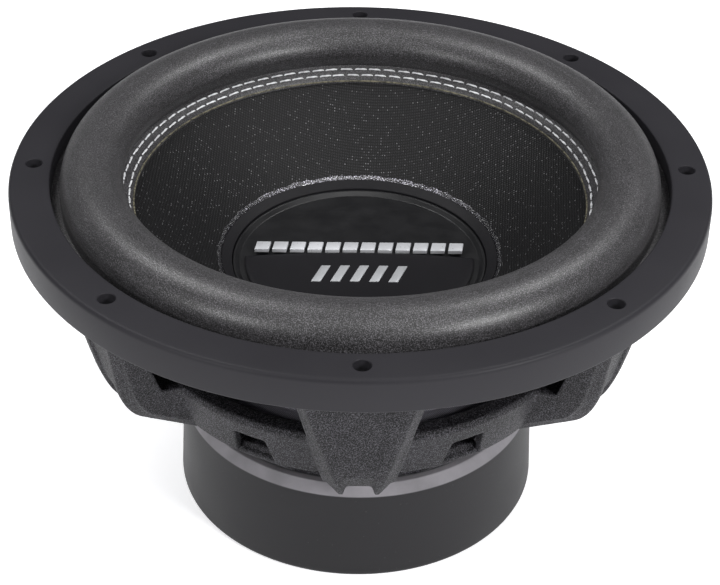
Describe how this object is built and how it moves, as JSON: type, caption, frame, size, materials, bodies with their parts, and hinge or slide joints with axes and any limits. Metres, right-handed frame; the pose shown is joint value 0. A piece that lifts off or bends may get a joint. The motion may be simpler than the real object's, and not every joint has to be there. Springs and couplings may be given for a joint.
{
  "type": "car subwoofer speaker",
  "caption": "Round car subwoofer speaker with a cast spoked basket, a stacked ferrite magnet motor, a wide foam surround, a stitched woven cone and a trim ring with screw holes.",
  "frame": {"origin": "centre of the magnet boot's bottom face, on which the speaker stands", "axes": "+Z along the speaker's axis towards the listener, -Y through the front spoke, terminals at +Y"},
  "size_m": [0.32, 0.32, 0.1832],
  "materials": {
    "cast_basket": "matte",
    "trim_plastic": "satin",
    "foam": "matte",
    "cone_weave": "satin",
    "thread": "matte",
    "cap_gloss": "gloss",
    "silver_trim": "polished",
    "coil_former": "satin",
    "coil_wire": "satin",
    "spider_cloth": "matte",
    "motor_steel": "satin",
    "ferrite": "matte",
    "screw_steel": "satin",
    "boot_rubber": "satin",
    "red_plastic": "gloss",
    "black_plastic": "gloss",
    "braid": "satin"
  },
  "bodies": {
    "frame": {"basket": "cast_basket", "trim_ring": "trim_plastic", "surround": "foam", "spider": "spider_cloth", "top_plate": "motor_steel", "magnet_upper": "ferrite", "magnet_lower": "ferrite", "yoke": "motor_steel", "shorting_ring": "coil_former", "vent_screen": "screw_steel", "magnet_boot": "boot_rubber", "plate_screw_1": "screw_steel", "plate_screw_2": "screw_steel", "plate_screw_3": "screw_steel", "plate_screw_4": "screw_steel", "plate_screw_5": "screw_steel", "plate_screw_6": "screw_steel", "terminal_block_left": "trim_plastic", "terminal_screw_left": "screw_steel", "terminal_block_right": "trim_plastic", "terminal_screw_right": "screw_steel", "contact_left_minus": "screw_steel", "tinsel_lead_left_minus": "braid", "contact_left_plus": "screw_steel", "tinsel_lead_left_plus": "braid", "contact_right_minus": "screw_steel", "tinsel_lead_right_minus": "braid", "contact_right_plus": "screw_steel", "tinsel_lead_right_plus": "braid"},
    "cone_assembly": {"cone": "cone_weave", "stitch_inner": "thread", "stitch_outer": "thread", "cap_ring": "trim_plastic", "dust_cap": "cap_gloss", "cap_emblem": "silver_trim", "voice_coil_former": "coil_former", "coil_winding_inner": "coil_wire", "coil_winding_outer": "coil_wire"},
    "button_left_minus": {"button_left_minus": "black_plastic"},
    "button_left_plus": {"button_left_plus": "red_plastic"},
    "button_right_minus": {"button_right_minus": "black_plastic"},
    "button_right_plus": {"button_right_plus": "red_plastic"}
  },
  "joints": [
    {"name": "cone_travel", "type": "slide", "parent": "frame", "child": "cone_assembly", "axis": [0, 0, 1], "range_m": [-0.016, 0.016], "stiffness_N_per_m": 8000, "deforming": ["surround", "spider", "tinsel_lead_left_minus", "tinsel_lead_left_plus", "tinsel_lead_right_minus", "tinsel_lead_right_plus"]},
    {"name": "press_left_minus", "type": "slide", "parent": "frame", "child": "button_left_minus", "axis": [0, -1, 0], "range_m": [0, 0.003], "stiffness_N_per_m": 800},
    {"name": "press_left_plus", "type": "slide", "parent": "frame", "child": "button_left_plus", "axis": [0, -1, 0], "range_m": [0, 0.003], "stiffness_N_per_m": 800},
    {"name": "press_right_minus", "type": "slide", "parent": "frame", "child": "button_right_minus", "axis": [0, -1, 0], "range_m": [0, 0.003], "stiffness_N_per_m": 800},
    {"name": "press_right_plus", "type": "slide", "parent": "frame", "child": "button_right_plus", "axis": [0, -1, 0], "range_m": [0, 0.003], "stiffness_N_per_m": 800}
  ]
}
